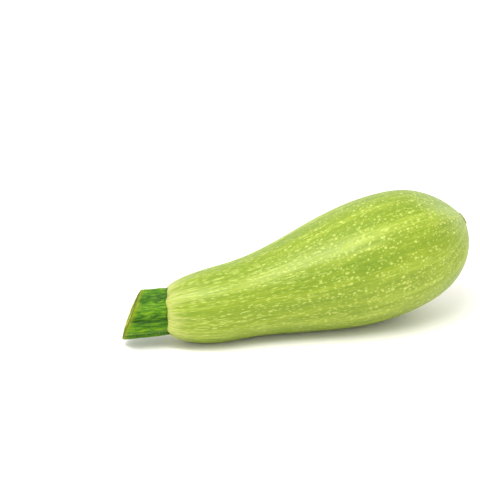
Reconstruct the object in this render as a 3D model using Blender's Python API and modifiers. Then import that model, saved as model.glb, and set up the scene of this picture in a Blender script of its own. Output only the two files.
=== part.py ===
"""A pale green zucchini lying on its side, with its stem cut short.

Units are metres, +Z is up, and the stem points to -X. The origin is on the surface that the
fruit lies on, in the middle of its length and width. Two pieces: the fruit, from the socket
round the stem to the blossom scar, and the short ridged stem with its slanting cut.

Each piece is a profile turned about X, then shaped by formula: first ribs or ridges, then the
bend. An angle round the axis is 0 towards -Y and a quarter turn at the top.
"""

import math

import bmesh
import bpy
from mathutils import Matrix, Vector

# The fruit's length and thickness
FRUIT_LENGTH = 0.1573
NECK_RADIUS = 0.0187
BELLY_RADIUS = 0.0311
SWELL_FROM = 0.108
SWELL_TO = 0.751

# The shoulder round the stem, as shares of the length and of the neck
SHOULDER_SPAN = 0.190
SHOULDER_LIP = 0.400
SHOULDER_POWER = 2.1

# The blunt blossom end
CAP_FROM = 0.573
CAP_RISE = 4.0
CAP_POWER = 1.61

# How the fruit lies, bends upward, away from the surface, and turns sideways at its neck
AXIS_HEIGHT = 0.01690
START_PITCH = math.radians(3.5)
END_PITCH = math.radians(17.8)
TIP_CURL = math.radians(9.0)
CURL_FROM = 0.78
NECK_TURN = math.radians(13.0)
NECK_TURN_SPAN = 0.22
FLAT_DEPTH = 0.0005

# Ribs: five broad ones with five slighter ones between, deepest at both ends, as shares of the radius
RIB_COUNT = 5
RIB_PHASE = math.radians(50.0)
RIB_AT_SHOULDER = 0.016
RIB_AT_NECK = 0.008
RIB_AT_BELLY = 0.005
RIB_AT_TIP = 0.030
RIB_BROAD_SHARE = 0.62
RIB_SHOULDER_SPAN = 0.16
RIB_TIP_FROM = 0.80
LOBE_REACH = 0.0010
LOBE_SPAN = 0.12

# How much further the shoulder reaches over the stem on the side towards -Y than on the far side
LEAN_REACH = 0.0024
LEAN_SPAN = 0.13

# The socket that the stem sits in: where its lip and its floor are along the fruit
LIP_PLACE = 0.0014
LIP_ROUND = 0.0011
FLOOR_PLACE = 0.0038
CLEARANCE = 0.0003
SOCKET_REACH = 0.35

# The blossom scar, a low corky button on the end with a rounded edge and a hollow middle
SCAR_RADIUS = 0.0036
SCAR_FOOT = 0.0009
SCAR_HEIGHT = 0.0002
SCAR_EDGE = 0.0006
SCAR_HOLLOW = 0.0004

# The stem: mean radii at its foot, waist and cut, and its five uneven ridges
STEM_FOOT_RADIUS = 0.0108
STEM_WAIST_RADIUS = 0.0110
STEM_CUT_RADIUS = 0.0109
STEM_LENGTH = 0.0188
RIDGE_ANGLES = [math.radians(a) for a in (-26.0, 30.0, 98.0, 184.0, 280.0)]
RIDGE_SHARPNESS = 0.62
GROOVE_AT_FOOT = 0.0012
GROOVE_AT_CUT = 0.0024
CUT_SLOPE_UP = math.radians(23.8)
CUT_SLOPE_BACK = math.radians(9.5)
CUT_DOME = 0.0012
CUT_EDGE_SHARE = 0.96
CUT_EDGE_FROM = 0.975

# How finely the two pieces and the middle line are divided
FRUIT_STEPS = 80
FRUIT_ROWS = 38
STEM_STEPS = 80
STEM_ROWS = 10
SPINE_STEPS = 400

SKIN_COLOUR = (0.45, 0.56, 0.11, 1.0)
STEM_COLOUR = (0.10, 0.24, 0.02, 1.0)


def ease(value):
    """A smooth ramp from 0 to 1, level at both ends."""
    t = min(max(value, 0.0), 1.0)
    return t * t * t * (t * (6.0 * t - 15.0) + 10.0)


def blend(low, high, share):
    """The value at a share of the way from low to high."""
    return low + (high - low) * share


def body_radius(u):
    """The fruit's mean radius at a share u of its length: neck, swelling, shoulder and cap."""
    body = blend(NECK_RADIUS, BELLY_RADIUS, ease((u - SWELL_FROM) / (SWELL_TO - SWELL_FROM)))
    left = 1.0 - min(u / SHOULDER_SPAN, 1.0)
    shoulder = blend(SHOULDER_LIP, 1.0, (1.0 - left ** SHOULDER_POWER) ** (1.0 / SHOULDER_POWER))
    past = min(max((u - CAP_FROM) / (1.0 - CAP_FROM), 0.0), 1.0)
    cap = (1.0 - past ** CAP_RISE) ** (1.0 / CAP_POWER)
    return body * shoulder * cap


def spine_pitch(u):
    """The upward angle of the fruit's middle line at a share u of its length."""
    share = min(max(u, 0.0), 1.0)
    curl = TIP_CURL * ease((share - CURL_FROM) / (1.0 - CURL_FROM))
    return blend(START_PITCH, END_PITCH, share) + curl


def spine_heading(u):
    """The rotation from the X axis to the middle line's direction at a share u of its length."""
    turn = -NECK_TURN * (1.0 - ease(u / NECK_TURN_SPAN))
    return Matrix.Rotation(turn, 3, "Z") @ Matrix.Rotation(-spine_pitch(u), 3, "Y")


def spine_points():
    """The middle line as points at even steps of its length, by adding up short straight runs."""
    step = Vector((FRUIT_LENGTH / SPINE_STEPS, 0.0, 0.0))
    points = [Vector((0.0, 0.0, AXIS_HEIGHT - FLAT_DEPTH))]
    for index in range(SPINE_STEPS):
        points.append(points[-1] + spine_heading((index + 0.5) / SPINE_STEPS) @ step)
    return points


def bent(point, spine):
    """Carries a point of the straight fruit, whose axis is X, onto the bent middle line."""
    share = point.x / FRUIT_LENGTH
    inside = min(max(share, 0.0), 1.0)
    place = inside * SPINE_STEPS
    index = min(int(place), SPINE_STEPS - 1)
    centre = spine[index].lerp(spine[index + 1], place - index)
    beyond = (share - inside) * FRUIT_LENGTH
    return centre + spine_heading(inside) @ Vector((beyond, point.y, point.z))


def ridge(angle):
    """1 on the crest of a ridge of the stem and 0 at the bottom of a groove."""
    turn = 2.0 * math.pi
    ends = RIDGE_ANGLES[1:] + [RIDGE_ANGLES[0] + turn]
    for start, end in zip(RIDGE_ANGLES, ends):
        offset = (angle - start) % turn
        if offset <= end - start:
            wave = 0.5 + 0.5 * math.cos(turn * offset / (end - start))
            return wave ** RIDGE_SHARPNESS
    return 1.0


def stem_radius(angle, share):
    """The stem's radius at an angle, from its foot, share 0, to its cut, share 1."""
    if share < 0.5:
        mean = blend(STEM_FOOT_RADIUS, STEM_WAIST_RADIUS, ease(2.0 * share))
    else:
        mean = blend(STEM_WAIST_RADIUS, STEM_CUT_RADIUS, ease(2.0 * share - 1.0))
    groove = blend(GROOVE_AT_FOOT, GROOVE_AT_CUT, share)
    return mean + groove * (ridge(angle) - 0.5)


def rib_depth(u):
    """How deep the ribs are at a share u of the length, as a share of the radius."""
    shoulder = RIB_AT_SHOULDER * (1.0 - ease(u / RIB_SHOULDER_SPAN))
    neck = blend(RIB_AT_NECK, RIB_AT_BELLY, ease((u - SWELL_FROM) / (SWELL_TO - SWELL_FROM)))
    tip = RIB_AT_TIP * ease((u - RIB_TIP_FROM) / (1.0 - RIB_TIP_FROM))
    return shoulder + neck + tip


def rib(angle):
    """The rib pattern round the fruit, between about -1 and 1."""
    broad = math.cos(RIB_COUNT * (angle - RIB_PHASE))
    slight = math.cos(2 * RIB_COUNT * (angle - RIB_PHASE) + 0.5)
    return blend(slight, broad, RIB_BROAD_SHARE)


def socket_wall(angle):
    """The socket's radius, which follows the foot of the stem all round."""
    return stem_radius(angle, 0.0) + CLEARANCE


def turned(name, profile, steps):
    """A closed mesh turned about X from (x, radius) points that run from axis to axis."""
    curve = bpy.data.meshes.new(name + "_profile")
    edges = [(i, i + 1) for i in range(len(profile) - 1)]
    curve.from_pydata([(x, 0.0, radius) for x, radius in profile], edges, [])
    helper = bpy.data.objects.new(name + "_profile", curve)
    bpy.context.scene.collection.objects.link(helper)
    screw = helper.modifiers.new("turn", "SCREW")
    screw.axis = "X"
    screw.steps = steps
    screw.render_steps = steps
    screw.use_merge_vertices = True
    screw.merge_threshold = 0.00001
    graph = bpy.context.evaluated_depsgraph_get()
    mesh = bpy.data.meshes.new_from_object(helper.evaluated_get(graph))
    bpy.data.objects.remove(helper)
    mesh.name = name
    return mesh


def fruit_profile():
    """(x, radius) from the middle of the socket's floor, round the lip, to the middle of the scar."""
    wall = STEM_FOOT_RADIUS + CLEARANCE
    lip = LIP_PLACE / FRUIT_LENGTH
    crest = body_radius(lip)
    points = [(FLOOR_PLACE, share * wall) for share in (0.0, 0.4, 0.8, 1.0)]
    for turn in (0.0, 30.0, 60.0):
        angle = math.radians(turn)
        inward = LIP_PLACE + LIP_ROUND * (1.0 - math.sin(angle))
        points.append((inward, crest - (crest - wall) * math.cos(angle)))
    scar = 1.0 - SCAR_FOOT / FRUIT_LENGTH
    for row in range(FRUIT_ROWS + 1):
        # Rows crowd together towards both ends, where the outline turns quickly.
        share = 0.5 - 0.5 * math.cos(math.pi * row / FRUIT_ROWS)
        u = blend(lip, scar, share)
        points.append((u * FRUIT_LENGTH, body_radius(u)))
    top = FRUIT_LENGTH + SCAR_HEIGHT
    for turn in (0.0, 30.0, 60.0, 90.0):
        angle = math.radians(turn)
        rise = SCAR_EDGE * (1.0 - math.sin(angle))
        points.append((top - rise, SCAR_RADIUS - SCAR_EDGE * (1.0 - math.cos(angle))))
    points.append((top - 0.5 * SCAR_HOLLOW, 0.45 * SCAR_RADIUS))
    points.append((top - SCAR_HOLLOW, 0.0))
    return points


def shape_fruit(mesh, spine):
    """Gives the turned body its ribs, lobed lip and bend, and flats under its neck and belly.

    Near the lip the radius goes over from the outline of the stem, which the socket follows, to
    the ribbed outline of the shoulder. The lip leans out over the stem on one side, and takes the
    top of the socket's wall with it.
    """
    wall_height = FLOOR_PLACE - LIP_PLACE - LIP_ROUND
    wall = STEM_FOOT_RADIUS + CLEARANCE
    crest = body_radius(LIP_PLACE / FRUIT_LENGTH)
    for vertex in mesh.vertices:
        point = vertex.co.copy()
        radius = math.hypot(point.y, point.z)
        angle = math.atan2(point.z, -point.y)
        u = min(max(point.x / FRUIT_LENGTH, 0.0), 1.0)
        outside = ease((radius - wall) / (crest - wall)) if u < 0.5 else 1.0
        socket = 1.0 - ease((radius / wall - 1.0) / SOCKET_REACH) if u < 0.5 else 0.0
        scale = 1.0 + outside * rib_depth(u) * rib(angle)
        scale *= blend(1.0, socket_wall(angle) / wall, socket)
        point.y *= scale
        point.z *= scale
        rim = min((FLOOR_PLACE - point.x) / wall_height, 1.0) if radius < 1.001 * wall else 1.0
        lobe = LOBE_REACH * outside * (1.0 - ease(u / LOBE_SPAN))
        lean = LEAN_REACH * rim * (1.0 - ease(u / LEAN_SPAN))
        point.x -= lobe * (0.5 + 0.5 * rib(angle)) + lean * (0.5 + 0.5 * math.cos(angle))
        vertex.co = bent(point, spine)
        vertex.co.z = max(vertex.co.z, 0.0)


def stem_profile():
    """(share of the stem's length, share of its radius) from the foot's middle to the cut's middle."""
    points = [(0.0, share) for share in (0.0, 0.5, 0.9, 1.0)]
    points += [(row / STEM_ROWS, 1.0) for row in range(1, STEM_ROWS)]
    points += [(CUT_EDGE_FROM, 1.0)]
    points += [(1.0, share) for share in (CUT_EDGE_SHARE, 0.8, 0.45, 0.0)]
    return points


def shape_stem(mesh, spine):
    """Gives the turned stem its length, ridges and slanting cut, and seats it in the socket."""
    foot = FLOOR_PLACE - CLEARANCE
    for vertex in mesh.vertices:
        share = vertex.co.x
        angle = math.atan2(vertex.co.z, -vertex.co.y)
        across = math.hypot(vertex.co.y, vertex.co.z)
        radius = across * stem_radius(angle, share)
        y = -radius * math.cos(angle)
        z = radius * math.sin(angle)
        # The cut leans back at the top and on the far side, and bulges a little in its middle.
        end = -STEM_LENGTH + z * math.tan(CUT_SLOPE_UP) + y * math.tan(CUT_SLOPE_BACK)
        end -= CUT_DOME * (1.0 - across * across)
        vertex.co = bent(Vector((blend(foot, end, share), y, z)), spine)


def material(name, colour, roughness):
    """A plain finish of one colour."""
    finish = bpy.data.materials.new(name)
    finish.use_nodes = True
    shader = finish.node_tree.nodes["Principled BSDF"]
    shader.inputs["Base Color"].default_value = colour
    shader.inputs["Roughness"].default_value = roughness
    shader.inputs["Metallic"].default_value = 0.0
    return finish


def outward(mesh):
    """Turns every face outward and smooths all but the sharp edges."""
    work = bmesh.new()
    work.from_mesh(mesh)
    bmesh.ops.recalc_face_normals(work, faces=work.faces)
    work.to_mesh(mesh)
    work.free()
    mesh.shade_smooth()
    mesh.set_sharp_from_angle(angle=math.radians(50.0))


def add_object(mesh, finish, collection):
    """Puts a finished mesh in the scene under its own name."""
    mesh.materials.append(finish)
    outward(mesh)
    piece = bpy.data.objects.new(mesh.name, mesh)
    collection.objects.link(piece)
    return piece


def centre_on_surface(pieces):
    """Moves the pieces together so that the origin is under the middle of their box."""
    corners = [vertex.co for piece in pieces for vertex in piece.data.vertices]
    middle_x = 0.5 * (min(c.x for c in corners) + max(c.x for c in corners))
    middle_y = 0.5 * (min(c.y for c in corners) + max(c.y for c in corners))
    lowest = min(c.z for c in corners)
    shift = Vector((middle_x, middle_y, lowest))
    for corner in corners:
        corner -= shift


def main():
    for leftover in list(bpy.data.objects):
        bpy.data.objects.remove(leftover)
    collection = bpy.data.collections.new("zucchini")
    bpy.context.scene.collection.children.link(collection)
    spine = spine_points()

    fruit = turned("fruit", fruit_profile(), FRUIT_STEPS)
    shape_fruit(fruit, spine)
    stem = turned("stem", stem_profile(), STEM_STEPS)
    shape_stem(stem, spine)

    pieces = [
        add_object(fruit, material("skin", SKIN_COLOUR, 0.38), collection),
        add_object(stem, material("stem", STEM_COLOUR, 0.55), collection),
    ]
    centre_on_surface(pieces)


main()
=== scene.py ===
"""A pale green zucchini with its stem cut short, lying on a white studio table.

Each piece is an outline turned about X and then shaped by the same formula as its solid, only
finer: first ribs or ridges, then the bend. A pattern on the skin or the stem follows the
surface, so each piece carries its own coordinates from before the bend as attributes. Sizes are
in metres unless a name ends in _mm.
"""

import logging
import math
from collections.abc import Sequence
from dataclasses import dataclass, field
from enum import Enum

import bpy
import numpy as np
from mathutils import Matrix, Vector, noise


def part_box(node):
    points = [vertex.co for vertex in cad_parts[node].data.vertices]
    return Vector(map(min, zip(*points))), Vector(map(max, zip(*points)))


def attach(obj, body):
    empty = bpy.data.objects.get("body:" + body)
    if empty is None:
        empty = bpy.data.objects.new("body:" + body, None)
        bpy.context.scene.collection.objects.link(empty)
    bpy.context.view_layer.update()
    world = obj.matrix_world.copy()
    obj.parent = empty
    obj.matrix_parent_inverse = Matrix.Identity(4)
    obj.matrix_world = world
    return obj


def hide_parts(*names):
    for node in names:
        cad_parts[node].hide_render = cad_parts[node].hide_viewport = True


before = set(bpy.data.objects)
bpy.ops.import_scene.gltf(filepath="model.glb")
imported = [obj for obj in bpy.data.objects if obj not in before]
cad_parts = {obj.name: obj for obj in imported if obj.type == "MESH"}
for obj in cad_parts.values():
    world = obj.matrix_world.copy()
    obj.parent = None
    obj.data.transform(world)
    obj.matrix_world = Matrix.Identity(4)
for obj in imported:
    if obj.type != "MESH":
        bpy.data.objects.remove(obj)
log = logging.getLogger("zucchini")

Array = np.ndarray
Colour = tuple[float, float, float]
Socket = bpy.types.NodeSocket
MM = 0.001
TURN = 2.0 * math.pi
SAME_PLACE = 0.000001


class BodySlot(Enum):
    """The record's material slots, named in the log for each piece."""

    SKIN = "skin"
    STEM = "stem"


def ease(value: Array | float) -> Array:
    """A smooth ramp from 0 to 1, level at both ends."""
    t = np.clip(value, 0.0, 1.0)
    return t * t * t * (t * (6.0 * t - 15.0) + 10.0)


def between(low: Array | float, high: Array | float, share: Array | float) -> Array:
    """The value at a share of the way from low to high."""
    return low + (high - low) * share


def srgb(red: int, green: int, blue: int) -> Colour:
    """A colour given as it shows on a screen, from 0 to 255, as linear values.

    Args:
        red: Its red.
        green: Its green.
        blue: Its blue.

    Returns:
        The linear red, green and blue, from 0 to 1.
    """
    shown = np.array((red, green, blue)) / 255.0
    linear = np.where(shown <= 0.04045, shown / 12.92, ((shown + 0.055) / 1.055) ** 2.4)
    return tuple(float(value) for value in linear)


def soft_noise(seed: float, *parts: Array) -> Array:
    """Smooth noise from about -1 to 1 at places given by their three parts, in its own grain.

    Args:
        seed: Moves the noise, so that two calls don't give the same.
        parts: The three parts of each place.

    Returns:
        One value for each place.
    """
    places = np.column_stack(parts) + np.array((seed, 2.3 * seed, -1.7 * seed))
    return np.array([noise.noise(place) for place in places.tolist()])


@dataclass(frozen=True)
class FruitForm:
    """The fruit's shape by formula, with the measures of its solid."""

    length: float = 0.1573
    neck_radius: float = 0.0187
    belly_radius: float = 0.0311
    swell_from: float = 0.108
    swell_to: float = 0.751
    shoulder_span: float = 0.190
    shoulder_lip: float = 0.400
    shoulder_power: float = 2.1
    cap_from: float = 0.573
    cap_rise: float = 4.0
    cap_power: float = 1.61
    axis_height: float = 0.0169
    start_pitch: float = math.radians(3.5)
    end_pitch: float = math.radians(17.8)
    tip_curl: float = math.radians(9.0)
    curl_from: float = 0.78
    neck_turn: float = math.radians(13.0)
    neck_turn_span: float = 0.22
    flat_depth: float = 0.0005
    rib_count: int = 5
    rib_phase: float = math.radians(50.0)
    rib_at_shoulder: float = 0.016
    rib_at_neck: float = 0.008
    rib_at_belly: float = 0.005
    rib_at_tip: float = 0.030
    rib_broad_share: float = 0.62
    rib_shoulder_span: float = 0.16
    rib_tip_from: float = 0.80
    lobe_reach: float = 0.0010
    lobe_span: float = 0.12
    lean_reach: float = 0.0024
    lean_span: float = 0.13
    lip_place: float = 0.0014
    lip_round: float = 0.0011
    floor_place: float = 0.0038
    clearance: float = 0.0003
    socket_reach: float = 0.35
    scar_radius: float = 0.0036
    scar_foot: float = 0.0009
    scar_height: float = 0.0002
    scar_edge: float = 0.0006
    scar_hollow: float = 0.0004
    spine_steps: int = 400

    def body_radius(self, u: Array) -> Array:
        """The mean radius at a share u of the length: neck, swelling, shoulder and cap.

        Args:
            u: How far along the fruit, from 0 at the stem to 1 at the scar.

        Returns:
            The radius at each place.
        """
        swell = ease((u - self.swell_from) / (self.swell_to - self.swell_from))
        body = between(self.neck_radius, self.belly_radius, swell)
        left = 1.0 - np.minimum(u / self.shoulder_span, 1.0)
        rise = (1.0 - left**self.shoulder_power) ** (1.0 / self.shoulder_power)
        past = np.clip((u - self.cap_from) / (1.0 - self.cap_from), 0.0, 1.0)
        cap = (1.0 - past**self.cap_rise) ** (1.0 / self.cap_power)
        return body * between(self.shoulder_lip, 1.0, rise) * cap

    def rib_depth(self, u: Array) -> Array:
        """How deep the ribs are at a share u of the length, as a share of the radius.

        Args:
            u: How far along the fruit, from 0 to 1.

        Returns:
            The depth at each place.
        """
        shoulder = self.rib_at_shoulder * (1.0 - ease(u / self.rib_shoulder_span))
        swell = ease((u - self.swell_from) / (self.swell_to - self.swell_from))
        neck = between(self.rib_at_neck, self.rib_at_belly, swell)
        tip = self.rib_at_tip * ease((u - self.rib_tip_from) / (1.0 - self.rib_tip_from))
        return shoulder + neck + tip

    def rib(self, angle: Array) -> Array:
        """The rib pattern round the fruit, between about -1 and 1.

        Args:
            angle: Each place's angle round the axis.

        Returns:
            1 on a broad rib's crest, about -1 between two.
        """
        broad = np.cos(self.rib_count * (angle - self.rib_phase))
        slight = np.cos(2 * self.rib_count * (angle - self.rib_phase) + 0.5)
        return between(slight, broad, self.rib_broad_share)

    def pitch(self, u: Array) -> Array:
        """The upward angle of the middle line at a share u of its length."""
        curl = self.tip_curl * ease((u - self.curl_from) / (1.0 - self.curl_from))
        return between(self.start_pitch, self.end_pitch, u) + curl

    def turn(self, u: Array) -> Array:
        """The sideways angle of the middle line at a share u of its length."""
        return -self.neck_turn * (1.0 - ease(u / self.neck_turn_span))

    def bend(self, x: Array, y: Array, z: Array) -> Array:
        """Carries places on the straight fruit, whose axis is X, onto the bent middle line.

        Args:
            x: How far along the straight fruit each place is.
            y: How far to the side.
            z: How far up.

        Returns:
            The places on the bent fruit, one row each, over the surface that it lies on.
        """
        middles = (np.arange(self.spine_steps) + 0.5) / self.spine_steps
        step = self.length / self.spine_steps
        level = step * np.cos(self.pitch(middles))
        runs = (
            level * np.cos(self.turn(middles)),
            level * np.sin(self.turn(middles)),
            step * np.sin(self.pitch(middles)),
        )
        ends = np.linspace(0.0, 1.0, self.spine_steps + 1)
        inside = np.clip(x / self.length, 0.0, 1.0)
        spine = [np.interp(inside, ends, np.concatenate([[0.0], np.cumsum(run)])) for run in runs]
        beyond = x - inside * self.length
        pitch, turn = self.pitch(inside), self.turn(inside)
        forward = beyond * np.cos(pitch) - z * np.sin(pitch)
        upward = beyond * np.sin(pitch) + z * np.cos(pitch)
        along = spine[0] + forward * np.cos(turn) - y * np.sin(turn)
        aside = spine[1] + forward * np.sin(turn) + y * np.cos(turn)
        return np.column_stack([along, aside, spine[2] + upward + self.axis_height - self.flat_depth])


@dataclass(frozen=True)
class StemForm:
    """The stem's shape by formula, with the measures of its solid."""

    foot_radius: float = 0.0108
    waist_radius: float = 0.0110
    cut_radius: float = 0.0109
    length: float = 0.0188
    ridge_angles: tuple[float, ...] = (-26.0, 30.0, 98.0, 184.0, 280.0)
    ridge_sharpness: float = 0.62
    groove_at_foot: float = 0.0012
    groove_at_cut: float = 0.0024
    cut_slope_up: float = math.radians(23.8)
    cut_slope_back: float = math.radians(9.5)
    cut_dome: float = 0.0012

    def ridge(self, angle: Array) -> Array:
        """1 on the crest of a ridge and 0 at the bottom of a groove.

        Args:
            angle: Each place's angle round the axis.

        Returns:
            The height at each angle.
        """
        starts = np.radians(self.ridge_angles)
        ends = np.append(starts[1:], starts[0] + TURN)
        height = np.ones_like(angle)
        for start, end in zip(starts, ends):
            offset = (angle - start) % TURN
            wave = 0.5 + 0.5 * np.cos(TURN * offset / (end - start))
            height = np.where(offset <= end - start, wave**self.ridge_sharpness, height)
        return height

    def radius(self, angle: Array, share: Array) -> Array:
        """The radius at an angle, from the foot, share 0, to the cut, share 1.

        Args:
            angle: Each place's angle round the axis.
            share: How far it is from foot to cut.

        Returns:
            The radius at each place.
        """
        lower = between(self.foot_radius, self.waist_radius, ease(2.0 * share))
        upper = between(self.waist_radius, self.cut_radius, ease(2.0 * share - 1.0))
        groove = between(self.groove_at_foot, self.groove_at_cut, share)
        return np.where(share < 0.5, lower, upper) + groove * (self.ridge(angle) - 0.5)

    def cut_place(self, y: Array, z: Array, across: Array) -> Array:
        """Where the slanting, slightly domed cut is along the axis.

        Args:
            y: How far to the side each place is.
            z: How far up.
            across: Its share of the radius.

        Returns:
            The places along the axis.
        """
        slant = z * math.tan(self.cut_slope_up) + y * math.tan(self.cut_slope_back)
        return slant - self.length - self.cut_dome * (1.0 - across * across)


class Graph:
    """A material's nodes, with short ways to add and join them."""

    def __init__(self, name: str) -> None:
        """Starts a material with one Principled shader.

        Args:
            name: The material's name.
        """
        self.material = bpy.data.materials.new(name)
        self.material.use_nodes = True
        self.tree = self.material.node_tree
        self.shader = self.tree.nodes["Principled BSDF"]

    def feed(self, socket: Socket, value: Socket | float | Sequence[float]) -> None:
        """Joins a socket to another, or sets its value.

        Args:
            socket: The socket to feed.
            value: Another socket, a number or a row of numbers.
        """
        if isinstance(value, bpy.types.NodeSocket):
            self.tree.links.new(value, socket)
        else:
            socket.default_value = value

    def paint(self, name: str, value: Socket) -> None:
        """Joins a value to one of the shader's sockets."""
        self.feed(self.shader.inputs[name], value)

    def settle(self, **values: float | Sequence[float]) -> None:
        """Sets the shader's own sockets, named with _ for a space."""
        for name, value in values.items():
            self.shader.inputs[name.replace("_", " ")].default_value = value

    def attribute(self, name: str) -> Socket:
        """The vector that the mesh carries under this name.

        Args:
            name: The attribute's name.

        Returns:
            The vector.
        """
        node = self.tree.nodes.new("ShaderNodeAttribute")
        node.attribute_name = name
        return node.outputs["Vector"]

    def split(self, vector: Socket) -> tuple[Socket, Socket, Socket]:
        """The three parts of a vector.

        Args:
            vector: The vector to take apart.

        Returns:
            Its X, Y and Z.
        """
        node = self.tree.nodes.new("ShaderNodeSeparateXYZ")
        self.feed(node.inputs[0], vector)
        return node.outputs[0], node.outputs[1], node.outputs[2]

    def scaled(self, vector: Socket, along: float, across: float) -> Socket:
        """A vector with its first part, along the piece, and the other two scaled apart.

        Args:
            vector: The places to scale.
            along: The scale of the first part.
            across: The scale of the other two.

        Returns:
            The scaled places.
        """
        node = self.tree.nodes.new("ShaderNodeVectorMath")
        node.operation = "MULTIPLY"
        self.feed(node.inputs[0], vector)
        node.inputs[1].default_value = (along, across, across)
        return node.outputs[0]

    def shaken(self, vector: Socket, scale: float, reach: float) -> Socket:
        """A vector moved about by noise.

        Args:
            vector: The places to move.
            scale: How fine the noise is.
            reach: How far it moves them.

        Returns:
            The moved places.
        """
        grain = self.tree.nodes.new("ShaderNodeTexNoise")
        self.feed(grain.inputs["Vector"], vector)
        grain.inputs["Scale"].default_value = scale
        grain.inputs["Detail"].default_value = 1.0
        node = self.tree.nodes.new("ShaderNodeVectorMath")
        node.operation = "MULTIPLY_ADD"
        self.feed(node.inputs[0], grain.outputs["Color"])
        node.inputs[1].default_value = (reach, reach, reach)
        self.feed(node.inputs[2], vector)
        return node.outputs[0]

    def noise(self, vector: Socket, detail: float = 2.0, rough: float = 0.5, scale: float = 1.0) -> Socket:
        """Smooth noise from 0 to 1, mostly near a half.

        Args:
            vector: The places.
            detail: How many finer layers it has.
            rough: How strong each finer layer is.
            scale: How fine it is.

        Returns:
            The noise at each place.
        """
        node = self.tree.nodes.new("ShaderNodeTexNoise")
        self.feed(node.inputs["Vector"], vector)
        node.inputs["Scale"].default_value = scale
        node.inputs["Detail"].default_value = detail
        node.inputs["Roughness"].default_value = rough
        return node.outputs["Fac"]

    def cells(self, vector: Socket) -> tuple[Socket, Socket]:
        """The distance to the nearest of many scattered points, and that point's random number.

        Args:
            vector: The places.

        Returns:
            The distance and the random number, from 0 to 1.
        """
        node = self.tree.nodes.new("ShaderNodeTexVoronoi")
        self.feed(node.inputs["Vector"], vector)
        node.inputs["Scale"].default_value = 1.0
        return node.outputs["Distance"], self.split(node.outputs["Color"])[0]

    def math(self, operation: str, *values: Socket | float) -> Socket:
        """One sum on numbers.

        Args:
            operation: Blender's name for the sum.
            values: What goes in.

        Returns:
            Its result.
        """
        node = self.tree.nodes.new("ShaderNodeMath")
        node.operation = operation
        for socket, value in zip(node.inputs, values):
            self.feed(socket, value)
        return node.outputs[0]

    def product(self, *values: Socket | float) -> Socket:
        """All the values multiplied.

        Args:
            values: The factors.

        Returns:
            Their product.
        """
        result = values[0]
        for value in values[1:]:
            result = self.math("MULTIPLY", result, value)
        return result

    def weighed(self, *pairs: tuple[Socket, float]) -> Socket:
        """The sum of values, each times its weight.

        Args:
            pairs: Each value with its weight.

        Returns:
            The sum.
        """
        value, weight = pairs[0]
        result = self.math("MULTIPLY", value, weight)
        for value, weight in pairs[1:]:
            result = self.math("MULTIPLY_ADD", value, weight, result)
        return result

    def rise(
        self,
        value: Socket,
        start: Socket | float,
        end: Socket | float,
        low: float = 0.0,
        high: float = 1.0,
    ) -> Socket:
        """A smooth step from low to high as the value goes from start to end, either way round.

        Args:
            value: What the step depends on.
            start: Where the step begins.
            end: Where it is over.
            low: The result before it.
            high: The result after it.

        Returns:
            The step's height.
        """
        node = self.tree.nodes.new("ShaderNodeMapRange")
        node.interpolation_type = "SMOOTHSTEP"
        for name, given in (("Value", value), ("From Min", start), ("From Max", end)):
            self.feed(node.inputs[name], given)
        node.inputs["To Min"].default_value = low
        node.inputs["To Max"].default_value = high
        return node.outputs["Result"]

    def mix(self, share: Socket | float, low: Socket | Colour, high: Socket | Colour) -> Socket:
        """A colour between two others.

        Args:
            share: How far it is from low to high, from 0 to 1.
            low: The colour at 0.
            high: The colour at 1.

        Returns:
            The mixed colour.
        """
        node = self.tree.nodes.new("ShaderNodeMix")
        node.data_type = "RGBA"
        self.feed(node.inputs["Factor"], share)
        ends = [socket for socket in node.inputs if socket.type == "RGBA"]
        for socket, colour in zip(ends, (low, high)):
            self.feed(socket, colour if isinstance(colour, bpy.types.NodeSocket) else (*colour, 1.0))
        return next(socket for socket in node.outputs if socket.type == "RGBA")

    def through(self, value: Socket, *stops: tuple[float, Colour]) -> Socket:
        """A colour that goes through several as the value rises.

        Args:
            value: What the colour depends on.
            stops: Each stop's value and colour, rising.

        Returns:
            The colour.
        """
        node = self.tree.nodes.new("ShaderNodeValToRGB")
        elements = node.color_ramp.elements
        while len(elements) < len(stops):
            elements.new(0.5)
        for element, (place, colour) in zip(elements, stops):
            element.position = place
            element.color = (*colour, 1.0)
        self.feed(node.inputs[0], value)
        return node.outputs["Color"]

    def raise_by(self, height: Socket, distance: float) -> None:
        """Raises the surface by a height of about 0 to 1, times a distance.

        Args:
            height: The relief.
            distance: How high 1 is.
        """
        node = self.tree.nodes.new("ShaderNodeBump")
        node.inputs["Distance"].default_value = distance
        self.feed(node.inputs["Height"], height)
        self.paint("Normal", node.outputs["Normal"])


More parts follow.
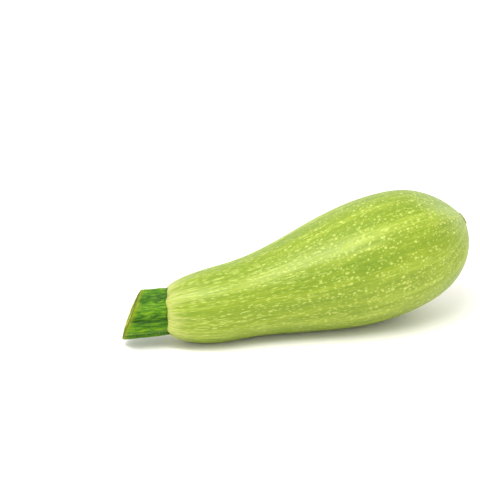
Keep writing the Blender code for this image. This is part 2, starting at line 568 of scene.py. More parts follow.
@dataclass(frozen=True)
class SkinFinish:
    """Waxy pale green skin: soft stripes, cream flecks in loose rows, a cream shoulder, a corky scar."""

    deep: Colour = srgb(102, 130, 6)
    middle: Colour = srgb(124, 146, 18)
    light: Colour = srgb(156, 174, 52)
    cream: Colour = srgb(190, 192, 108)
    fleck: Colour = srgb(198, 209, 106)
    cork: Colour = srgb(150, 136, 92)
    cork_rim: Colour = srgb(74, 84, 34)
    cork_dark: Colour = srgb(70, 58, 36)
    roughness: float = 0.39
    specular: float = 0.42
    bump_height: float = 0.00035
    shoulder_cover: float = 0.74

    def material(self) -> bpy.types.Material:
        """The finish as nodes, on the attributes skin, place and lie.

        Returns:
            The skin's material.
        """
        graph = Graph("pale_green_skin")
        skin = graph.attribute("skin")
        lip, tip, scar = graph.split(graph.attribute("place"))
        rib, span, _ = graph.split(graph.attribute("lie"))

        broad = graph.noise(graph.scaled(skin, 0.016, 0.13))
        streak = graph.noise(graph.scaled(skin, 0.05, 0.62), 3.0, 0.55)
        fine = graph.noise(graph.scaled(skin, 0.14, 1.9))
        mottle = graph.noise(graph.scaled(skin, 0.45, 0.75), 4.0, 0.6)
        tone = graph.weighed((broad, 0.32), (streak, 0.34), (fine, 0.22), (mottle, 0.12), (rib, 0.05))
        ground = graph.through(tone, (0.35, self.deep), (0.50, self.middle), (0.65, self.light))
        flecks = self._flecks(graph, skin, span, mottle)
        coloured = graph.mix(flecks, ground, self.fleck)
        coloured = self._shoulder(graph, skin, lip, rib, coloured)

        end = graph.rise(tip, 7.0, 0.5, 0.0, 0.35)
        coloured = graph.mix(end, coloured, self.deep)
        crumbs = graph.noise(graph.scaled(skin, 1.2, 0.30), 4.0, 0.7)
        inward = graph.rise(tip, 0.2, -FruitForm.scar_radius / MM)
        rings = ((0.05, self.cork_rim), (0.30, self.cork), (0.70, self.cork), (0.95, self.cork_dark))
        cork = graph.through(inward, *rings)
        cork = graph.mix(graph.rise(crumbs, 0.60, 0.42, 0.0, 0.8), cork, self.cork_dark)
        graph.paint("Base Color", graph.mix(scar, coloured, cork))

        rough = graph.rise(mottle, 0.3, 0.7, self.roughness - 0.05, self.roughness + 0.08)
        graph.paint("Roughness", graph.math("MULTIPLY_ADD", scar, 0.4, rough))
        pores = graph.noise(graph.scaled(skin, 1.1, 1.8), 3.0, 0.6)
        relief = graph.weighed((streak, 0.40), (fine, 0.22), (pores, 0.24), (flecks, 0.10))
        relief = graph.math("MULTIPLY_ADD", graph.product(scar, crumbs), 1.2, relief)
        graph.raise_by(relief, self.bump_height)
        graph.settle(
            Specular_IOR_Level=self.specular,
            Subsurface_Weight=0.12,
            Subsurface_Radius=(1.0, 1.2, 0.35),
            Subsurface_Scale=0.0022,
        )
        return graph.material

    def _shoulder(self, graph: Graph, skin: Socket, lip: Socket, rib: Socket, coloured: Socket) -> Socket:
        """Lets the ground go over into cream stripes towards the lip round the stem.

        Args:
            graph: The material's nodes.
            skin: The places on the skin.
            lip: How many millimetres each is from the lip.
            rib: The rib pattern.
            coloured: The colour so far.

        Returns:
            The colour with the cream over it.
        """
        stripe = graph.noise(graph.scaled(skin, 0.03, 0.50), 2.0, 0.6)
        reach = graph.weighed((stripe, 46.0), (rib, 3.5))
        reach = graph.math("MAXIMUM", graph.math("ADD", reach, -10.0), 4.0)
        pale = graph.rise(lip, reach, graph.math("MULTIPLY", reach, -0.1), 0.0, self.shoulder_cover)
        lines = graph.noise(graph.scaled(skin, 0.05, 0.80), 2.0)
        pale = graph.product(pale, graph.rise(lines, 0.34, 0.56, 0.50, 1.0))
        pale = graph.product(pale, graph.rise(lip, -0.5, 2.5, 0.6, 1.0))
        return graph.mix(pale, coloured, self.cream)

    def _flecks(self, graph: Graph, skin: Socket, span: Socket, mottle: Socket) -> Socket:
        """Cream flecks from 0 to 1: round ones to the blossom end, dashes in rows to the neck.

        Args:
            graph: The material's nodes.
            skin: The places on the skin.
            span: How far along the fruit each is, from 0 to 1.
            mottle: Fine noise that thins the flecks out in places.

        Returns:
            How strongly a fleck covers each place.
        """
        loose = graph.shaken(skin, 0.35, 1.0)
        rows = graph.noise(graph.scaled(skin, 0.035, 0.55), 1.0)
        rounder = graph.rise(span, 0.25, 0.62, 0.35, 1.0)
        longer = graph.rise(span, 0.70, 0.30, 0.30, 1.0)
        crowd = graph.rise(mottle, 0.36, 0.56, 0.45, 1.0)
        layers = (
            (graph.scaled(loose, 0.42, 0.50), 0.12, 0.28, graph.product(rounder, crowd, 0.76)),
            (graph.scaled(loose, 0.70, 0.95), 0.18, 0.36, graph.product(crowd, 0.60)),
            (graph.scaled(loose, 0.24, 0.90), 0.10, 0.30, graph.product(longer, 0.50)),
        )
        result = None
        for places, smallest, largest, strength in layers:
            distance, chance = graph.cells(places)
            size = graph.rise(chance, 0.1, 1.0, smallest, largest)
            spot = graph.rise(distance, graph.math("ADD", size, 0.12), graph.math("ADD", size, -0.08))
            layer = graph.product(spot, strength, graph.rise(rows, 0.36, 0.54, 0.45, 1.0))
            result = layer if result is None else graph.math("MAXIMUM", result, layer)
        return result


@dataclass(frozen=True)
class StemFinish:
    """Green ridged stalk with a drying cut face; darker in its creases, partly its own tone and partly
    painted shade, with painted highlight on its crests and painted shade next to the fruit.
    """

    # groove to crest: the stalk's green from crease to crest. The dark end is partly painted shade and the
    # light end partly painted highlight; groove is also the painted shade next to the fruit.
    groove: Colour = srgb(30, 66, 0)
    side: Colour = srgb(62, 110, 0)
    crest: Colour = srgb(112, 152, 16)
    olive: Colour = srgb(120, 136, 8)
    dried: Colour = srgb(74, 62, 10)
    pith: Colour = srgb(188, 200, 118)
    flesh: Colour = srgb(124, 150, 42)
    wet: Colour = srgb(100, 120, 18)
    straw: Colour = srgb(184, 180, 92)
    rind: Colour = srgb(80, 84, 6)
    roughness: float = 0.48
    specular: float = 0.18
    cut_specular: float = 0.05
    bump_height: float = 0.00030

    def material(self) -> bpy.types.Material:
        """The finish as nodes, on the attributes stalk, zone and reach.

        Returns:
            The stem's material.
        """
        graph = Graph("ridged_green_stem")
        stalk = graph.attribute("stalk")
        height, cut, across = graph.split(graph.attribute("zone"))
        from_cut, from_lip, wrinkle = graph.split(graph.attribute("reach"))

        streak = graph.noise(graph.scaled(stalk, 0.22, 1.5), 3.0, 0.65)
        patch = graph.noise(graph.scaled(stalk, 0.28, 0.42))
        # Darker towards the grooves and wrinkle creases and lighter on the crests: partly the stalk's own
        # tone, partly painted shade and painted highlight.
        tone = graph.weighed((height, 0.22), (wrinkle, 0.30), (streak, 0.80), (patch, 0.14))
        green = graph.through(tone, (0.47, self.groove), (0.74, self.side), (1.0, self.crest))
        # Painted shade: the stalk darkens towards the fruit, where it goes into the socket under the
        # shoulder.
        shade = graph.rise(from_lip, 4.5, 1.0, 0.0, 0.75)
        green = graph.mix(shade, green, self.groove)
        reach = graph.math("MULTIPLY_ADD", patch, 8.0, -1.0)
        green = graph.mix(graph.rise(from_cut, reach, 0.0, 0.0, 0.85), green, self.olive)
        green = graph.mix(graph.rise(from_cut, 0.7, 0.1, 0.0, 0.55), green, self.dried)

        face = self._cut_face(graph, stalk, across)
        graph.paint("Base Color", graph.mix(cut, green, face))
        rough = graph.math("MULTIPLY_ADD", streak, 0.14, self.roughness - 0.05)
        graph.paint("Roughness", graph.math("MULTIPLY_ADD", cut, 0.35, rough))
        graph.paint("Specular IOR Level", graph.rise(cut, 0.0, 1.0, self.specular, self.cut_specular))
        grain = graph.noise(graph.scaled(stalk, 0.9, 2.6), 4.0, 0.65)
        sawn = graph.noise(graph.scaled(stalk, 1.0, 1.0), 5.0, 0.7)
        relief = graph.weighed((streak, 0.5), (grain, 0.5))
        relief = graph.math("MULTIPLY_ADD", graph.product(cut, sawn), 1.6, relief)
        graph.raise_by(relief, self.bump_height)
        graph.settle(
            Subsurface_Weight=0.08,
            Subsurface_Radius=(0.8, 1.2, 0.3),
            Subsurface_Scale=0.0012,
        )
        return graph.material

    def _cut_face(self, graph: Graph, stalk: Socket, across: Socket) -> Socket:
        """The cut face's colour: pale pith, cloudy flesh, green rind, dried straw and brown spots.

        Args:
            graph: The material's nodes.
            stalk: The places on the stem.
            across: Each place's share of the radius.

        Returns:
            The face's colour.
        """
        cloud = graph.noise(graph.scaled(stalk, 0.35, 0.35), 4.0, 0.65)
        place = graph.math("MULTIPLY_ADD", cloud, 0.9, graph.math("ADD", across, -0.45))
        rings = ((0.12, self.pith), (0.50, self.flesh), (0.80, self.wet), (1.0, self.rind))
        face = graph.through(place, *rings)
        face = graph.mix(graph.rise(across, 0.90, 0.98), face, self.rind)
        patch = graph.noise(graph.scaled(stalk, 0.16, 0.16), 3.0, 0.6)
        crumbs = graph.noise(graph.scaled(stalk, 1.3, 1.3), 4.0, 0.7)
        torn = graph.product(graph.rise(patch, 0.50, 0.60), graph.rise(crumbs, 0.42, 0.55))
        face = graph.mix(graph.product(torn, graph.rise(across, 0.97, 0.85)), face, self.straw)
        spots = graph.noise(graph.scaled(stalk, 0.9, 0.9), 3.0, 0.6)
        return graph.mix(graph.rise(spots, 0.57, 0.68, 0.0, 0.7), face, self.dried)


@dataclass(frozen=True)
class PrickleFinish:
    """Short glassy plant hairs."""

    root: Colour = srgb(150, 170, 90)
    point: Colour = srgb(210, 224, 170)

    def material(self) -> bpy.types.Material:
        """The finish as nodes, a little uneven from hair to hair.

        Returns:
            The hairs' material.
        """
        graph = Graph("pale_prickles")
        place = graph.tree.nodes.new("ShaderNodeTexCoord").outputs["Object"]
        uneven = graph.noise(place, scale=900.0)
        graph.paint("Base Color", graph.mix(graph.rise(uneven, 0.35, 0.65), self.root, self.point))
        graph.settle(Roughness=0.35, Specular_IOR_Level=0.5)
        return graph.material


@dataclass(frozen=True)
class TableFinish:
    """Smooth white board with a faint unevenness."""

    light: Colour = (0.96, 0.93, 0.89)
    dark: Colour = (0.94, 0.91, 0.87)

    def material(self) -> bpy.types.Material:
        """The finish as nodes.

        Returns:
            The table's material.
        """
        graph = Graph("white_board")
        place = graph.tree.nodes.new("ShaderNodeTexCoord").outputs["Object"]
        graph.paint("Base Color", graph.mix(graph.noise(place, scale=40.0), self.dark, self.light))
        graph.settle(Roughness=0.7, Specular_IOR_Level=0.1)
        return graph.material


def nothing_selected() -> None:
    """Deselects everything, so that an operator acts on the new piece only."""
    if bpy.context.mode != "OBJECT":
        bpy.ops.object.mode_set(mode="OBJECT")
    bpy.ops.object.select_all(action="DESELECT")


def read_points(mesh: bpy.types.Mesh) -> Array:
    """A mesh's corners, one row each.

    Args:
        mesh: The mesh to read.

    Returns:
        The corners' places.
    """
    flat = np.empty(len(mesh.vertices) * 3)
    mesh.vertices.foreach_get("co", flat)
    return flat.reshape(-1, 3)


def write_points(mesh: bpy.types.Mesh, points: Array) -> None:
    """Moves a mesh's corners."""
    mesh.vertices.foreach_set("co", points.ravel())
    mesh.update()


def write_attribute(mesh: bpy.types.Mesh, name: str, *parts: Array) -> None:
    """Stores a vector for each corner of a mesh, given as its three parts."""
    layer = mesh.attributes.new(name, "FLOAT_VECTOR", "POINT")
    layer.data.foreach_set("vector", np.column_stack(parts).astype(np.float32).ravel())


@dataclass
class Turning:
    """An outline turned about X into a closed mesh, each of whose corners knows its outline point."""

    name: str
    places: Array
    radii: Array
    steps: int

    def build(self) -> bpy.types.Object:
        """Draws the outline out from one corner, spins it and closes its poles.

        Returns:
            The turned piece.
        """
        nothing_selected()
        bpy.ops.mesh.primitive_plane_add(size=MM, location=(0.0, 0.0, 0.0))
        piece = bpy.context.active_object
        piece.name = self.name
        piece.data.name = self.name
        bpy.ops.object.mode_set(mode="EDIT")
        bpy.ops.mesh.select_all(action="SELECT")
        bpy.ops.mesh.merge(type="CENTER")
        for x, radius in zip(np.diff(self.places), np.diff(self.radii)):
            bpy.ops.mesh.extrude_region_move(TRANSFORM_OT_translate={"value": (x, 0.0, radius)})
        bpy.ops.object.mode_set(mode="OBJECT")
        write_points(piece.data, np.column_stack([self.places, 0.0 * self.radii, self.radii]))
        rows = piece.data.attributes.new("row", "FLOAT", "POINT")
        rows.data.foreach_set("value", np.arange(len(self.places), dtype=np.float32))
        bpy.ops.object.mode_set(mode="EDIT")
        bpy.ops.mesh.select_all(action="SELECT")
        bpy.ops.mesh.spin(steps=self.steps, angle=TURN, center=(0.0, 0.0, 0.0), axis=(1.0, 0.0, 0.0))
        bpy.ops.mesh.select_all(action="SELECT")
        bpy.ops.mesh.remove_doubles(threshold=SAME_PLACE)
        bpy.ops.object.mode_set(mode="OBJECT")
        return piece

    def rows_and_angles(self, piece: bpy.types.Object) -> tuple[Array, Array]:
        """Each corner's outline point by number, and its angle, 0 towards -Y and a quarter turn up.

        Args:
            piece: The turned piece.

        Returns:
            The numbers and the angles.
        """
        mesh = piece.data
        rows = np.empty(len(mesh.vertices), dtype=np.float32)
        mesh.attributes["row"].data.foreach_get("value", rows)
        mesh.attributes.remove(mesh.attributes["row"])
        points = read_points(mesh)
        return np.rint(rows).astype(int), np.arctan2(points[:, 2], -points[:, 1])

    def unroll(self, piece: bpy.types.Object, way: Array, angle: Array) -> None:
        """Gives the piece a map for baking: its angle across, its way from pole to pole upwards.

        Args:
            piece: The turned piece.
            way: Each corner's way along the outline, from 0 to 1.
            angle: Each corner's angle.
        """
        mesh = piece.data
        corner = np.empty(len(mesh.loops), dtype=np.int32)
        mesh.loops.foreach_get("vertex_index", corner)
        sizes = np.empty(len(mesh.polygons), dtype=np.int32)
        mesh.polygons.foreach_get("loop_total", sizes)
        starts = np.concatenate([[0], np.cumsum(sizes)[:-1]])
        face = np.repeat(np.arange(len(sizes)), sizes)
        across = (angle[corner] / TURN) % 1.0
        pole = (way[corner] <= 0.0) | (way[corner] >= 1.0)
        high = np.maximum.reduceat(np.where(pole, 0.0, across), starts)[face]
        across = np.where(high - across > 0.5, across + 1.0, across)
        total = np.add.reduceat(np.where(pole, 0.0, across), starts)[face]
        count = np.add.reduceat(np.where(pole, 0.0, 1.0), starts)[face]
        across = np.where(pole, total / count, across) * self.steps / (self.steps + 1)
        layer = mesh.uv_layers.new(name="OFBake")
        layer.uv.foreach_set("vector", np.column_stack([across, way[corner]]).astype(np.float32).ravel())


def close_up(piece: bpy.types.Object) -> None:
    """Turns a finished piece's faces outward and shades it smooth.

    Args:
        piece: The piece to finish.
    """
    nothing_selected()
    piece.select_set(True)
    bpy.context.view_layer.objects.active = piece
    bpy.ops.object.mode_set(mode="EDIT")
    bpy.ops.mesh.select_all(action="SELECT")
    bpy.ops.mesh.normals_make_consistent(inside=False)
    bpy.ops.object.mode_set(mode="OBJECT")
    bpy.ops.object.shade_smooth()
    piece.select_set(False)


def lengths(x: Array, radius: Array) -> Array:
    """The way along an outline to each of its points."""
    return np.concatenate([[0.0], np.cumsum(np.hypot(np.diff(x), np.diff(radius)))])


@dataclass
class Fruit:
    """The fruit, from the socket round the stem to the blossom scar."""

    form: FruitForm = field(default_factory=FruitForm)
    stem: StemForm = field(default_factory=StemForm)
    finish: SkinFinish = field(default_factory=SkinFinish)
    steps: int = 320
    rows: int = 286
    skin_radius_mm: float = 25.0
    stretch_at_stem: float = 2.4
    stretch_at_tip: float = 1.3
    crowd_reach: float = 0.004
    lip_crowding: float = 3.5
    scar_crowding: float = 4.0
    swell_relief: float = 0.00014
    crease_relief: float = 0.00010
    cork_relief: float = 0.00016

    def outline(self) -> tuple[Array, Array]:
        """A fine outline from the middle of the socket's floor to the middle of the scar.

        Returns:
            The places along the axis, and the radius at each.
        """
        form = self.form
        wall = self.stem.foot_radius + form.clearance
        lip = form.lip_place / form.length
        crest = float(form.body_radius(np.array(lip)))
        turn = np.radians(np.linspace(0.0, 85.0, 18))
        scar = 1.0 - form.scar_foot / form.length
        u = between(lip, scar, 0.5 - 0.5 * np.cos(np.linspace(0.0, math.pi, 900)))
        top = form.length + form.scar_height
        edge = np.radians(np.linspace(0.0, 90.0, 12))
        x = [
            np.full(2, form.floor_place),
            form.lip_place + form.lip_round * (1.0 - np.sin(turn)),
            u * form.length,
            top - form.scar_edge * (1.0 - np.sin(edge)),
            [top - 0.5 * form.scar_hollow, top - form.scar_hollow],
        ]
        radius = [
            [0.0, wall],
            crest - (crest - wall) * np.cos(turn),
            form.body_radius(u),
            form.scar_radius - form.scar_edge * (1.0 - np.cos(edge)),
            [0.45 * form.scar_radius, 0.0],
        ]
        return np.concatenate(x), np.concatenate(radius)

    def spaced_outline(self) -> tuple[Array, Array, Array]:
        """The outline as rows, closer together at the lip and the scar.

        Returns:
            The places along the axis, the radii, and the way from the lip's crest to each row.
        """
        x, radius = self.outline()
        way = lengths(x, radius)
        fine = np.linspace(0.0, way[-1], 4000)
        lip_way = fine[np.argmin(np.interp(fine, way, x))]
        scar_way = way[-1] - self.form.scar_radius
        crowd = 1.0 + self.lip_crowding * np.exp(-(((fine - lip_way) / self.crowd_reach) ** 2))
        crowd += self.scar_crowding * np.exp(-(((fine - scar_way) / self.crowd_reach) ** 2))
        crowd *= np.where(fine < lip_way - 0.003, 0.35, 1.0)
        density = np.concatenate([[0.0], np.cumsum(0.5 * (crowd[1:] + crowd[:-1]))])
        at = np.interp(np.linspace(0.0, 1.0, self.rows), density / density[-1], fine)
        return np.interp(at, way, x), np.interp(at, way, radius), at - lip_way

    def build(self) -> bpy.types.Object:
        """Models the fruit and dresses it.

        Returns:
            The finished fruit.
        """
        form = self.form
        places, radii, ways = self.spaced_outline()
        turning = Turning("fruit_skin", places, radii, self.steps)
        piece = turning.build()
        row, angle = turning.rows_and_angles(piece)
        x, radius, way = places[row], radii[row], ways[row]
        u = np.clip(x / form.length, 0.0, 1.0)
        wall = self.stem.foot_radius + form.clearance
        crest = float(form.body_radius(np.array(form.lip_place / form.length)))

        near = u < 0.5
        outside = np.where(near, ease((radius - wall) / (crest - wall)), 1.0)
        socket = np.where(near, 1.0 - ease((radius / wall - 1.0) / form.socket_reach), 0.0)
        follow = (self.stem.radius(angle, np.zeros_like(angle)) + form.clearance) / wall
        shaped = radius * (1.0 + outside * form.rib_depth(u) * form.rib(angle))
        shaped *= between(1.0, follow, socket)
        wall_height = form.floor_place - form.lip_place - form.lip_round
        inner = (radius < 1.001 * wall) & near
        rim = np.where(inner, np.clip((form.floor_place - x) / wall_height, 0.0, 1.0), 1.0)
        lobe = form.lobe_reach * outside * (1.0 - ease(u / form.lobe_span))
        lean = form.lean_reach * rim * (1.0 - ease(u / form.lean_span))
        x = x - lobe * (0.5 + 0.5 * form.rib(angle)) - lean * (0.5 + 0.5 * np.cos(angle))

        scar = 1.0 - ease((way.max() - way - form.scar_radius + 0.0007) / MM)
        shaped += outside * (1.0 - scar) * self._skin_relief(way, angle)
        x = x + scar * self._cork_relief(radius, angle)
        points = form.bend(x, -shaped * np.cos(angle), shaped * np.sin(angle))
        points[:, 2] = np.maximum(points[:, 2], 0.0)
        write_points(piece.data, points)
        turning.unroll(piece, row / (self.rows - 1.0), angle)
        self._carry(piece.data, ways, row, angle, u, scar)
        piece.data.materials.append(self.finish.material())
        close_up(piece)
        return piece

    def _skin_relief(self, way: Array, angle: Array) -> Array:
        """Low swells and fine lengthwise creases of the skin, fading out at both ends.

        Args:
            way: Each place's way from the lip's crest.
            angle: Its angle.

        Returns:
            How much further out each place is.
        """
        c, s = np.cos(angle), np.sin(angle)
        swell = soft_noise(1.0, way / 0.030, 1.6 * c, 1.6 * s)
        crease = soft_noise(2.0, way / 0.035, 7.0 * c, 7.0 * s)
        ends = np.minimum(ease(way / 0.006), ease((way.max() - way - 0.004) / 0.01))
        return ends * (self.swell_relief * swell + self.crease_relief * crease)

    def _cork_relief(self, radius: Array, angle: Array) -> Array:
        """The scar's crumbly face, with a nub where the flower's style was.

        Args:
            radius: Each place's distance from the axis.
            angle: Its angle.

        Returns:
            How much further along the axis each place is.
        """
        y, z = radius * np.cos(angle), radius * np.sin(angle)
        crumbs = soft_noise(4.0, y / 0.0008, z / 0.0008, 0.0 * y)
        cracks = soft_noise(5.0, 3.0 * np.cos(angle), 3.0 * np.sin(angle), radius / 0.002)
        nub = 1.0 - ease(radius / 0.0008)
        return self.cork_relief * (crumbs - 1.5 * np.abs(cracks) + 2.0 * nub)

    def _carry(
        self, mesh: bpy.types.Mesh, ways: Array, row: Array, angle: Array, u: Array, scar: Array
    ) -> None:
        """Stores the coordinates that the skin's pattern follows.

        Args:
            mesh: The finished mesh.
            ways: The way from the lip's crest to each row.
            row: Each corner's row.
            angle: Each corner's angle.
            u: Each corner's share of the length.
            scar: Each corner's share of the scar's cork.
        """
        share = np.clip(ways / ways[-1], 0.0, 1.0)
        stretch = between(self.stretch_at_stem, self.stretch_at_tip, ease((share - 0.05) / 0.60))
        along = np.concatenate([[0.0], np.cumsum(np.diff(ways) / stretch[1:])]) / MM
        wide = self.skin_radius_mm
        write_attribute(mesh, "skin", along[row], wide * np.cos(angle), wide * np.sin(angle))
        tip = (ways[-1] - ways[row] - self.form.scar_radius) / MM
        write_attribute(mesh, "place", ways[row] / MM, tip, scar)
        write_attribute(mesh, "lie", self.form.rib(angle), u, 0.0 * u)


@dataclass
class Stem:
    """The short ridged stem, from its foot in the socket to its slanting cut."""

    form: StemForm = field(default_factory=StemForm)
    fruit: FruitForm = field(default_factory=FruitForm)
    finish: StemFinish = field(default_factory=StemFinish)
    prickle_finish: PrickleFinish = field(default_factory=PrickleFinish)
    steps: int = 420
    foot_rows: int = 10
    side_rows: int = 150
    face_rows: int = 56
    edge_round: float = 0.0010
    wrinkle_relief: float = 0.00042
    face_relief: float = 0.00025
    ragged: float = 0.00018
    hollow: float = 0.0003
    prickles: int = 300
    prickle_length: float = 0.0006
    prickle_root: float = 0.00008
    prickle_point: float = 0.00001

    def rows(self) -> tuple[Array, Array, Array]:
        """The rows from the foot's middle to the cut's middle.

        Returns:
            Each row's run from foot to cut, its share of the radius, and 1 on the cut face.
        """
        ease_out = 1.0 - (1.0 - np.linspace(0.0, 1.0, self.side_rows)) ** 1.5
        run = [np.zeros(self.foot_rows), ease_out, np.ones(self.face_rows)]
        across = [
            np.arange(self.foot_rows) / self.foot_rows,
            np.ones(self.side_rows),
            1.0 - (np.arange(self.face_rows) + 1.0) / self.face_rows,
        ]
        face = [np.zeros(self.foot_rows), np.zeros(self.side_rows), np.ones(self.face_rows)]
        return np.concatenate(run), np.concatenate(across), np.concatenate(face)

    def build(self) -> bpy.types.Object:
        """Models the stem and dresses it.

        Returns:
            The finished stem.
        """
        runs, shares, faces = self.rows()
        turning = Turning("stem_stub", -self.form.length * runs, self.form.foot_radius * shares, self.steps)
        piece = turning.build()
        row, angle = turning.rows_and_angles(piece)
        run, across, face = runs[row], shares[row], faces[row]

        wrinkle = self._wrinkles(run, angle)
        fade = ease(run / 0.16) * np.where(face > 0.0, across**4, across)
        rim = self.form.radius(angle, run) + self.wrinkle_relief * fade * (wrinkle - 0.5)
        radius = across * (rim - self._edge_rounding(run))
        y, z = -radius * np.cos(angle), radius * np.sin(angle)
        foot = self.fruit.floor_place - self.fruit.clearance
        end = self.form.cut_place(y, z, across)
        x = between(foot, end, run) + self._cut_relief(run, y, z, across)
        write_points(piece.data, self.fruit.bend(x, y, z))

        turning.unroll(piece, row / (len(runs) - 1.0), angle)
        wide = across * self.form.foot_radius / MM
        write_attribute(piece.data, "stalk", x / MM, wide * np.cos(angle), wide * np.sin(angle))
        write_attribute(piece.data, "zone", self.form.ridge(angle), face, across)
        write_attribute(piece.data, "reach", (x - end) / MM, (self.fruit.lip_place - x) / MM, wrinkle)
        piece.data.materials.append(self.finish.material())
        close_up(piece)
        return piece

    def _edge_rounding(self, run: Array) -> Array:
        """How much the side draws in just under the cut, so that the rim isn't a knife edge.

        Args:
            run: How far each place is from foot to cut.

        Returns:
            How much smaller its radius is.
        """
        left = (1.0 - run) * (self.form.length + self.fruit.floor_place)
        inside = np.clip(1.0 - left / self.edge_round, 0.0, 1.0)
        return self.edge_round * (1.0 - np.sqrt(1.0 - 0.98 * inside * inside))

    def _wrinkles(self, run: Array, angle: Array) -> Array:
        """Uneven lengthwise wrinkles with sharp creases between them, from 0 to 1.

        Args:
            run: How far each place is from foot to cut.
            angle: Its angle.

        Returns:
            The height at each place.
        """
        length = self.form.length * run / MM
        c = self.form.foot_radius / MM * np.cos(angle)
        s = self.form.foot_radius / MM * np.sin(angle)
        coarse = soft_noise(7.0, length / 7.0, c / 1.5, s / 1.5)
        fine = soft_noise(9.0, length / 2.8, c / 0.75, s / 0.75)
        bumps = soft_noise(11.0, length / 1.1, c / 1.1, s / 1.1)
        height = 1.5 * np.abs(coarse) ** 0.7 + 0.45 * np.abs(fine) + 0.2 * bumps
        return np.clip(height, 0.0, 1.3) / 1.3

    def _cut_relief(self, run: Array, y: Array, z: Array, across: Array) -> Array:
        """The cut face's unevenness along the axis: a rough rim, a bumpy face, a hollow middle.

        Args:
            run: How far each place is from foot to cut.
            y: How far to the side it is.
            z: How far up.
            across: Its share of the radius.

        Returns:
            How much further along the axis each place is.
        """
        edge = self.ragged * soft_noise(17.0, y / 0.0012, z / 0.0012, 0.0 * y)
        broad = soft_noise(13.0, y / 0.005, z / 0.005, 0.0 * y)
        fine = soft_noise(15.0, y / 0.0011, z / 0.0011, 0.0 * y)
        inner = ease((1.0 - across) / 0.12)
        hollow = self.hollow * (1.0 - ease(across / 0.45))
        uneven = edge + inner * self.face_relief * (broad + 0.5 * fine) + hollow
        return ease((run - 0.93) / 0.07) * uneven

    def build_prickles(self) -> bpy.types.Object:
        """Short stiff hairs on the side, copies of one cone joined in one mesh.

        Returns:
            The finished hairs.
        """
        nothing_selected()
        half = 0.5 * self.prickle_length
        bpy.ops.mesh.primitive_cone_add(
            vertices=5,
            radius1=self.prickle_root,
            radius2=self.prickle_point,
            depth=2.0 * half,
            location=(0.0, 0.0, 0.8 * half),
        )
        model = bpy.context.active_object
        model.name = "stem_prickles"
        bpy.ops.object.transform_apply(location=True, rotation=True, scale=True)
        chance = np.random.default_rng(5)
        for _ in range(self.prickles):
            run, angle = chance.uniform(0.22, 0.97), chance.uniform(0.0, TURN)
            root, out = self._side_point(run, angle)
            lean = (out + Vector(chance.normal(0.0, 0.25, 3))).normalized()
            copy = bpy.data.objects.new("prickle", model.data.copy())
            bpy.context.scene.collection.objects.link(copy)
            size = Matrix.Scale(chance.uniform(0.5, 1.25), 4)
            tilt = lean.to_track_quat("Z", "Y").to_matrix().to_4x4()
            copy.matrix_world = Matrix.Translation(root) @ tilt @ size
            copy.select_set(True)
        # The first cone is at the origin, so it leaves before the copies are joined.
        bpy.data.objects.remove(model)
        bpy.context.view_layer.objects.active = copy
        bpy.ops.object.join()
        bpy.ops.object.transform_apply(location=True, rotation=True, scale=True)
        copy.name = "stem_prickles"
        copy.data.name = "stem_prickles"
        copy.data.materials.append(self.prickle_finish.material())
        close_up(copy)
        return copy

    def _side_point(self, run: float, angle: float) -> tuple[Vector, Vector]:
        """A place on the stem's side and the direction out of it.

        Args:
            run: How far it is from foot to cut.
            angle: Its angle.

        Returns:
            The place and the direction.
        """
        place = self._on_side(run, angle, 0.0)
        along = self._on_side(run + 0.01, angle, 0.0) - place
        around = self._on_side(run, angle + 0.02, 0.0) - place
        out = around.cross(along).normalized()
        outward = self._on_side(run, angle, MM) - place
        return place, out if out.dot(outward) > 0.0 else -out

    def _on_side(self, run: float, angle: float, more: float) -> Vector:
        """A place on the stem's side, or a little above it.

        Args:
            run: How far it is from foot to cut.
            angle: Its angle.
            more: How far above the side it is.

        Returns:
            The place on the bent stem.
        """
        runs, angles = np.array([run]), np.array([angle])
        radius = self.form.radius(angles, runs) + more
        y, z = -radius * np.cos(angles), radius * np.sin(angles)
        end = self.form.cut_place(y, z, np.ones(1))
        x = between(self.fruit.floor_place - self.fruit.clearance, end, runs)
        return Vector(self.fruit.bend(x, y, z)[0])


@dataclass(frozen=True)
class SoftBox:
    """A rectangular light: its place along the picture's directions, width and depth, and watts."""

    name: str
    place: tuple[float, float, float]
    size: tuple[float, float]
    power: float


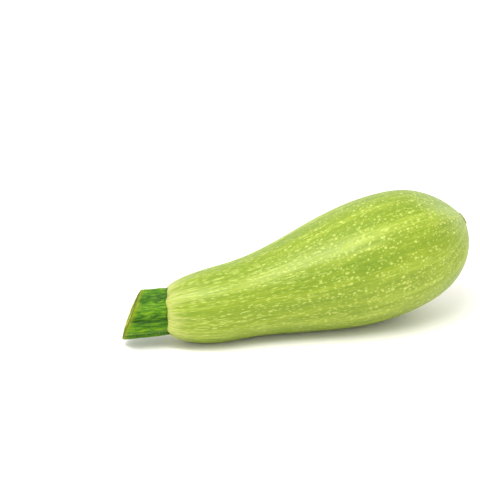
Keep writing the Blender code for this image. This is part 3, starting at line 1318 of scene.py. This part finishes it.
@dataclass
class Studio:
    """The white table, the soft lights and the camera.

    The picture is taken as 480 by 480 points. The camera is set out from the fruit as seen in
    the picture: turned by yaw, moved by across and away, and looked down on at elevation.
    """

    distance: float = 1.2
    elevation: float = math.radians(25.0)
    yaw: float = math.radians(18.0)
    across: float = 0.0285
    away: float = 0.025
    look_up: float = 0.0534
    view_width: float = 0.2352
    sensor_mm: float = 36.0
    table: TableFinish = field(default_factory=TableFinish)
    table_size: float = 8.0
    table_drop: float = 0.00005
    overhead: SoftBox = SoftBox("overhead", (-0.55, -0.45, 0.95), (1.2, 1.2), 2.0)
    gleam: SoftBox = SoftBox("gleam", (-0.20, -0.30, 0.80), (0.80, 0.22), 6.2)
    behind: SoftBox = SoftBox("behind", (0.75, 0.75, 0.45), (0.7, 0.7), 2.6)
    aim_height: float = 0.03
    surround: float = 1.08

    def from_picture(self, x: float, y: float, z: float) -> Vector:
        """A place given along the picture's own directions, in the fruit's frame.

        Args:
            x: How far to the right.
            y: How far away from the viewer.
            z: How far up.

        Returns:
            The place.
        """
        moved_x, moved_y = x - self.across, y - self.away
        cosine, sine = math.cos(self.yaw), math.sin(self.yaw)
        return Vector((moved_x * cosine + moved_y * sine, moved_y * cosine - moved_x * sine, z))

    def build_camera(self) -> bpy.types.Object:
        """The camera at the photograph's angle.

        Returns:
            The camera.
        """
        data = bpy.data.cameras.new("camera")
        data.sensor_width = self.sensor_mm
        data.lens = self.sensor_mm * self.distance / self.view_width
        data.clip_start = 0.05
        data.clip_end = 50.0
        camera = bpy.data.objects.new("camera", data)
        bpy.context.scene.collection.objects.link(camera)
        back, up = math.cos(self.elevation), math.sin(self.elevation)
        camera.location = self.from_picture(0.0, -self.distance * back, self.distance * up)
        target = self.from_picture(0.0, self.look_up * up, self.look_up * back)
        camera.rotation_euler = (target - camera.location).to_track_quat("-Z", "Y").to_euler()
        bpy.context.scene.camera = camera
        return camera

    def build_table(self) -> bpy.types.Object:
        """The white board that the fruit lies on.

        Returns:
            The board.
        """
        nothing_selected()
        bpy.ops.mesh.primitive_plane_add(size=self.table_size, location=(0.0, 0.0, 0.0))
        board = bpy.context.active_object
        board.name = "white_table"
        bpy.ops.transform.translate(value=(0.0, 0.0, -self.table_drop))
        bpy.ops.object.transform_apply(location=True, rotation=True, scale=True)
        board.data.materials.append(self.table.material())
        return board

    def hang(self, box: SoftBox) -> None:
        """Hangs a light so that it faces the fruit.

        Args:
            box: The light to hang.
        """
        data = bpy.data.lights.new(box.name, "AREA")
        data.shape = "RECTANGLE"
        data.size, data.size_y = box.size
        data.energy = box.power
        light = bpy.data.objects.new(box.name, data)
        bpy.context.scene.collection.objects.link(light)
        light.location = self.from_picture(*box.place)
        aim = Vector((0.0, 0.0, self.aim_height)) - light.location
        light.rotation_euler = aim.to_track_quat("-Z", "Y").to_euler()

    def build_lights(self) -> None:
        """A broad light above the front, a long narrow one by it, one behind and a white surround."""
        for box in (self.overhead, self.gleam, self.behind):
            self.hang(box)
        world = bpy.data.worlds.new("white_surround")
        world.use_nodes = True
        sky = world.node_tree.nodes["Background"]
        sky.inputs["Color"].default_value = (1.0, 1.0, 1.0, 1.0)
        sky.inputs["Strength"].default_value = self.surround
        bpy.context.scene.world = world
        bpy.context.scene.view_settings.view_transform = "Standard"


def settle_in_frame(pieces: Sequence[bpy.types.Object], like: bpy.types.Object, node: str) -> None:
    """Moves the pieces together along the table until one of them lies where its solid does.

    Args:
        pieces: All that moves.
        like: The piece that is compared.
        node: The solid that it is compared with.
    """
    low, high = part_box(node)
    points = read_points(like.data)
    middle = 0.5 * (points.min(axis=0) + points.max(axis=0))
    shift = 0.5 * (np.array(low) + np.array(high)) - middle
    shift[2] = 0.0
    for piece in pieces:
        write_points(piece.data, read_points(piece.data) + shift)


def stand_in(piece: bpy.types.Object, slot: BodySlot, node: str | None) -> None:
    """Hangs a piece on the body, hides the solid that it stands for, and logs the piece with its slot.

    Args:
        piece: The finished piece.
        slot: The record's slot for its finish.
        node: The solid that it stands for, or None for an addition.
    """
    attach(piece, "root")
    if node:
        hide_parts(node)
    log.info("%s: %d faces, slot %s", piece.name, len(piece.data.polygons), slot.value)


def main() -> None:
    """Builds the fruit, its stem and the studio."""
    logging.basicConfig(level=logging.INFO, format="%(name)s: %(message)s")
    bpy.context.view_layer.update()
    fruit = Fruit()
    stem = Stem()
    studio = Studio()
    fruit_piece = fruit.build()
    stem_piece = stem.build()
    prickle_piece = stem.build_prickles()
    settle_in_frame((fruit_piece, stem_piece, prickle_piece), fruit_piece, "fruit")
    stand_in(fruit_piece, BodySlot.SKIN, "fruit")
    stand_in(stem_piece, BodySlot.STEM, "stem")
    stand_in(prickle_piece, BodySlot.STEM, None)
    studio.build_table()
    studio.build_lights()
    studio.build_camera()


if __name__ == "__main__":
    main()
